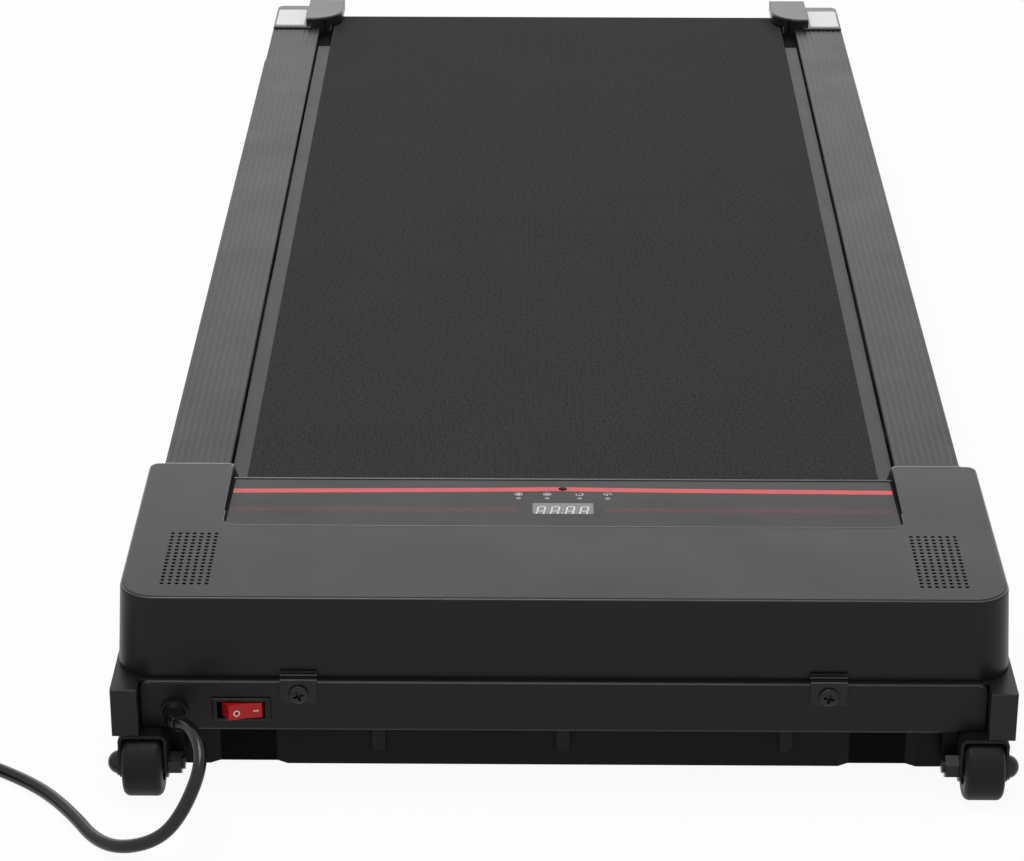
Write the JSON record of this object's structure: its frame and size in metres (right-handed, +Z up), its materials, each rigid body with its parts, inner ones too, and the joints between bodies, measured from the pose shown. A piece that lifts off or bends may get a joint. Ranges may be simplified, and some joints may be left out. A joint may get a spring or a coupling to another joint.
{
  "type": "walking pad",
  "caption": "Flat under-desk walking pad: belt between ribbed foot rails, motor hood with display panel, grilles and rocker switch, front transport wheels and a coiled mains lead.",
  "frame": {"origin": "on the floor, under the middle of the pad without its lead", "axes": "+X to the right seen from the motor end, +Y from the motor end to the rear, +Z up"},
  "size_m": [0.7577, 1.2651, 0.128],
  "materials": {
    "black_painted_steel": "fine powder coat, satin",
    "charcoal_hood_plastic": "fine spark-eroded texture, matt",
    "black_moulded_plastic": "fine moulded texture, matt",
    "grey_rail_plastic": "ribbed, matt",
    "black_panel_plastic": "smooth, semi-gloss",
    "smoked_window": "polished, dark",
    "digit_plastic": "lit white digits on black",
    "circuit_board": "solder mask",
    "walking_belt_cover": "fine woven grain",
    "deck_board": "grey laminated face",
    "soft_rubber": "matt",
    "wheel_tread": "moulded, satin",
    "roller_steel": "ground",
    "zinc_steel": "zinc plated",
    "black_screw_steel": "black oxide",
    "cast_pulley": "as cast, turned rim",
    "motor_case_paint": "satin enamel",
    "controller_aluminium": "extruded",
    "red_switch_plastic": "moulded, glossy",
    "silver_pad": "silver lacquer",
    "black_lead_cover": "smooth, satin",
    "plug_brass": "bright"
  },
  "bodies": {
    "chassis": {"right_side_tube": "black_painted_steel", "left_side_tube": "black_painted_steel", "right_side_plate": "black_painted_steel", "left_side_plate": "black_painted_steel", "front_bar": "black_painted_steel", "deck_crossmembers": "black_painted_steel", "base_crossmembers": "black_painted_steel", "motor_plate": "black_painted_steel", "wheel_brackets": "black_painted_steel", "hood_clips": "black_painted_steel", "motor_cradle": "black_painted_steel", "tension_plates": "black_painted_steel", "motor_hood": "charcoal_hood_plastic", "tube_end_caps": "black_moulded_plastic", "belly_pan": "black_moulded_plastic", "right_rear_cap": "black_moulded_plastic", "left_rear_cap": "black_moulded_plastic", "cord_gland": "black_moulded_plastic", "speakers": "black_moulded_plastic", "right_side_rail": "grey_rail_plastic", "left_side_rail": "grey_rail_plastic", "display_panel": "black_panel_plastic", "remote_eye": "black_panel_plastic", "switch_case": "black_panel_plastic", "display_window": "smoked_window", "digit_module": "digit_plastic", "display_board": "circuit_board", "walking_belt": "walking_belt_cover", "deck": "deck_board", "deck_cushions": "soft_rubber", "rear_feet": "soft_rubber", "drive_belt": "soft_rubber", "front_axle": "roller_steel", "rear_axle": "roller_steel", "wheel_bolts": "zinc_steel", "wheel_lock_nuts": "zinc_steel", "front_axle_bolts": "zinc_steel", "belly_pan_screws": "zinc_steel", "hood_clip_screws": "black_screw_steel", "drive_motor": "motor_case_paint", "motor_controller": "controller_aluminium", "rear_cap_pads": "silver_pad", "inner_leads": "black_lead_cover", "power_cord": "black_lead_cover", "power_cord_coil": "black_lead_cover", "cord_tie": "black_lead_cover", "plug_body": "black_lead_cover", "plug_pins": "plug_brass"},
    "front_roller": {"front_roller": "roller_steel", "roller_pulley": "cast_pulley", "front_roller_bearings": "roller_steel"},
    "rear_roller": {"rear_roller": "roller_steel", "rear_roller_bearings": "roller_steel"},
    "motor_rotor": {"motor_shaft": "roller_steel", "motor_pulley": "cast_pulley"},
    "left_wheel": {"left_wheel": "wheel_tread"},
    "right_wheel": {"right_wheel": "wheel_tread"},
    "switch_rocker": {"switch_rocker": "red_switch_plastic"},
    "left_tension_bolt": {"left_tension_bolt": "zinc_steel"},
    "right_tension_bolt": {"right_tension_bolt": "zinc_steel"}
  },
  "joints": [
    {"name": "front_roller_spin", "type": "hinge", "parent": "chassis", "child": "front_roller", "pos_m": [0, -0.4207, 0.0971], "axis": [1, 0, 0], "continuous": true},
    {"name": "rear_roller_spin", "type": "hinge", "parent": "chassis", "child": "rear_roller", "pos_m": [0, 0.5773, 0.0971], "axis": [1, 0, 0], "continuous": true},
    {"name": "motor_spin", "type": "hinge", "parent": "chassis", "child": "motor_rotor", "pos_m": [0, -0.4987, 0.082], "axis": [1, 0, 0], "continuous": true},
    {"name": "left_wheel_spin", "type": "hinge", "parent": "chassis", "child": "left_wheel", "pos_m": [-0.2486, -0.58, 0.02], "axis": [1, 0, 0], "continuous": true},
    {"name": "right_wheel_spin", "type": "hinge", "parent": "chassis", "child": "right_wheel", "pos_m": [0.2486, -0.58, 0.02], "axis": [1, 0, 0], "continuous": true},
    {"name": "switch_rock", "type": "hinge", "parent": "chassis", "child": "switch_rocker", "pos_m": [-0.19, -0.5698, 0.0554], "axis": [0, 0, 1], "range_deg": [-24, 0]},
    {"name": "left_tension_bolt_turn", "type": "hinge", "parent": "chassis", "child": "left_tension_bolt", "pos_m": [-0.228, 0.5923, 0.0971], "axis": [0, 1, 0], "range_deg": [-90, 90]},
    {"name": "right_tension_bolt_turn", "type": "hinge", "parent": "chassis", "child": "right_tension_bolt", "pos_m": [0.228, 0.5923, 0.0971], "axis": [0, 1, 0], "range_deg": [-90, 90]}
  ],
  "couplings": [
    {"joint": "rear_roller_spin", "follows": "front_roller_spin", "ratio": 1},
    {"joint": "motor_spin", "follows": "front_roller_spin", "ratio": 2.1111}
  ]
}
